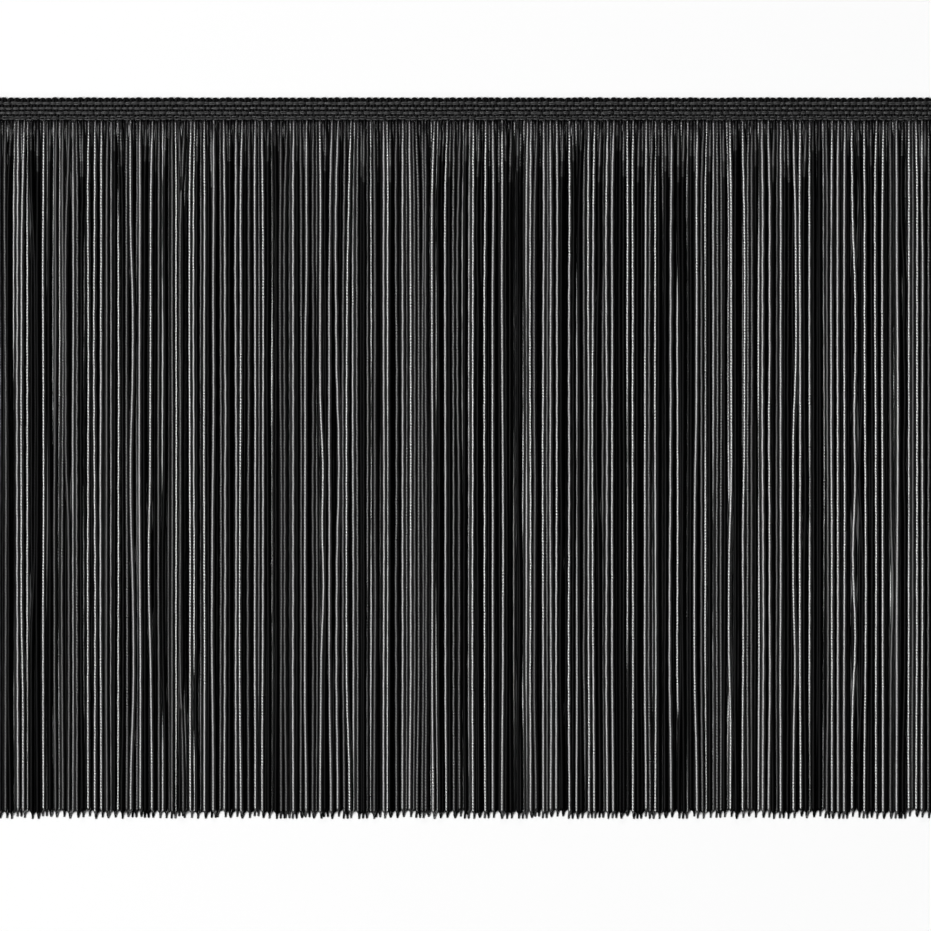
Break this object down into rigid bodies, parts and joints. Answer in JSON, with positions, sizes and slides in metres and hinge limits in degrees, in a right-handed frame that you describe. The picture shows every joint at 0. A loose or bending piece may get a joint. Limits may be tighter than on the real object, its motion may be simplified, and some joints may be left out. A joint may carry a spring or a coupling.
{
  "type": "tassel fringe trim",
  "caption": "Long looped yarn fringe on a narrow crocheted heading braid with a scalloped top edge, a cut length lying flat.",
  "frame": {"origin": "middle of the trim's outline on the surface that it lies on", "axes": "+X along the trim, +Y up the drop towards the heading's scalloped top edge, +Z out of its face"},
  "size_m": [0.4093, 0.31, 0.0028],
  "materials": {
    "braid_yarn": "crocheted yarn with a low sheen",
    "strand_yarn": "shiny knitted yarn"
  },
  "bodies": {
    "root": {"heading": "braid_yarn", "fringe": "strand_yarn"}
  },
  "joints": []
}
